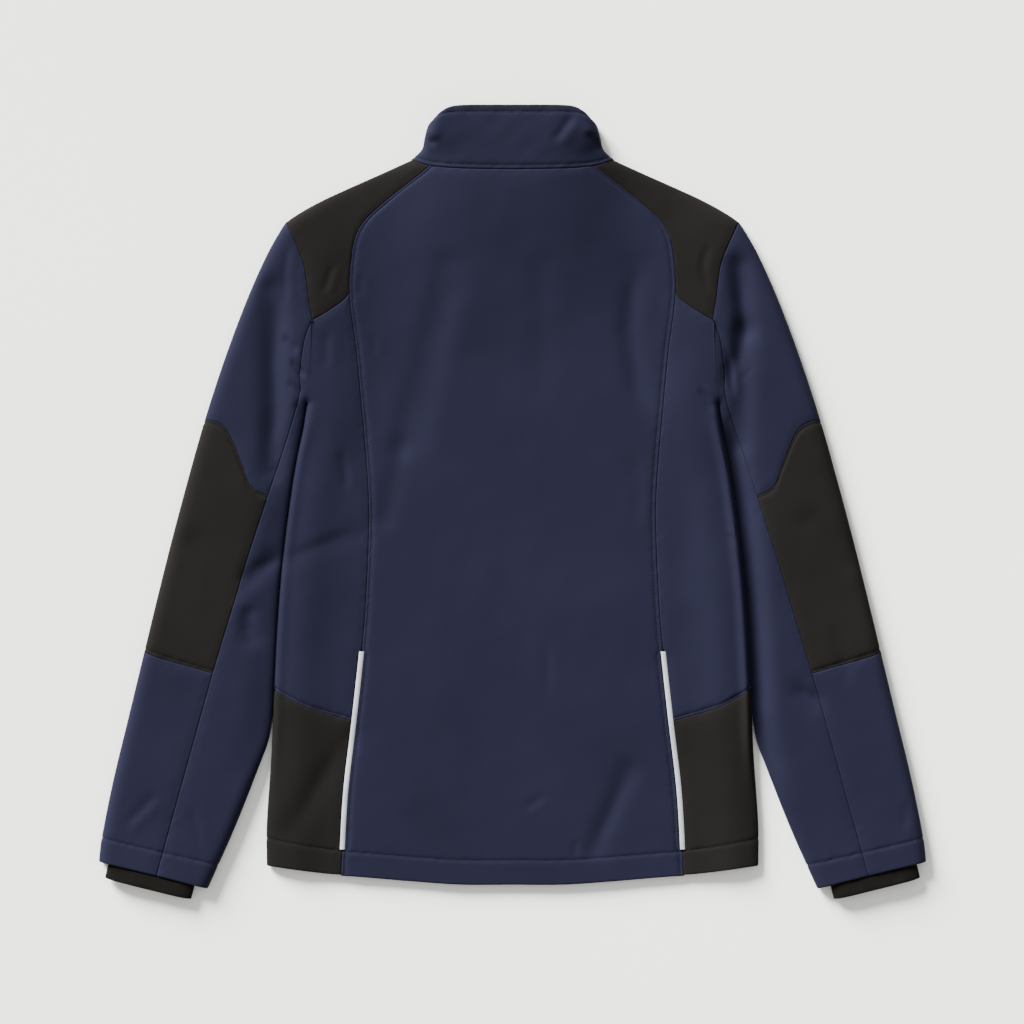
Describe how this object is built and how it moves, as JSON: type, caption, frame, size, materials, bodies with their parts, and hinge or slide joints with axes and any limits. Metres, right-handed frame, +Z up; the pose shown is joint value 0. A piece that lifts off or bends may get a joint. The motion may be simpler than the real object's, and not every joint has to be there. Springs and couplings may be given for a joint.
{
  "type": "softshell jacket",
  "caption": "Long-sleeved stand-collar softshell jacket laid flat with its back up, in navy with black shoulder, elbow and side panels.",
  "frame": {"origin": "on the floor under the middle of the laid jacket's bounding box", "axes": "+Y towards the collar along the centre back, +Z up out of the back, +X to the wearer's right"},
  "size_m": [0.828, 0.7938, 0.0205],
  "materials": {
    "navy_softshell": "matte",
    "black_softshell": "matte",
    "reflective_piping": "satin",
    "zip_tape": "matte",
    "zip_metal": "satin"
  },
  "bodies": {
    "jacket": {"back_centre": "navy_softshell", "collar": "navy_softshell", "back_side_left": "navy_softshell", "lower_side_left": "black_softshell", "shoulder_left": "black_softshell", "front_left": "navy_softshell", "piping_left": "reflective_piping", "sleeve_upper_left": "navy_softshell", "elbow_left": "black_softshell", "sleeve_lower_left": "navy_softshell", "sleeve_under_left": "navy_softshell", "cuff_left": "black_softshell", "back_side_right": "navy_softshell", "lower_side_right": "black_softshell", "shoulder_right": "black_softshell", "front_right": "navy_softshell", "piping_right": "reflective_piping", "sleeve_upper_right": "navy_softshell", "elbow_right": "black_softshell", "sleeve_lower_right": "navy_softshell", "sleeve_under_right": "navy_softshell", "cuff_right": "black_softshell", "zip_tape": "zip_tape", "zip_slider": "zip_metal"},
    "pull": {"zip_pull": "zip_metal"}
  },
  "joints": [
    {"name": "pull_swing", "type": "hinge", "parent": "jacket", "child": "pull", "pos_m": [0, 0.353, 0.0061], "axis": [1, 0, 0], "range_deg": [0, 150]}
  ]
}
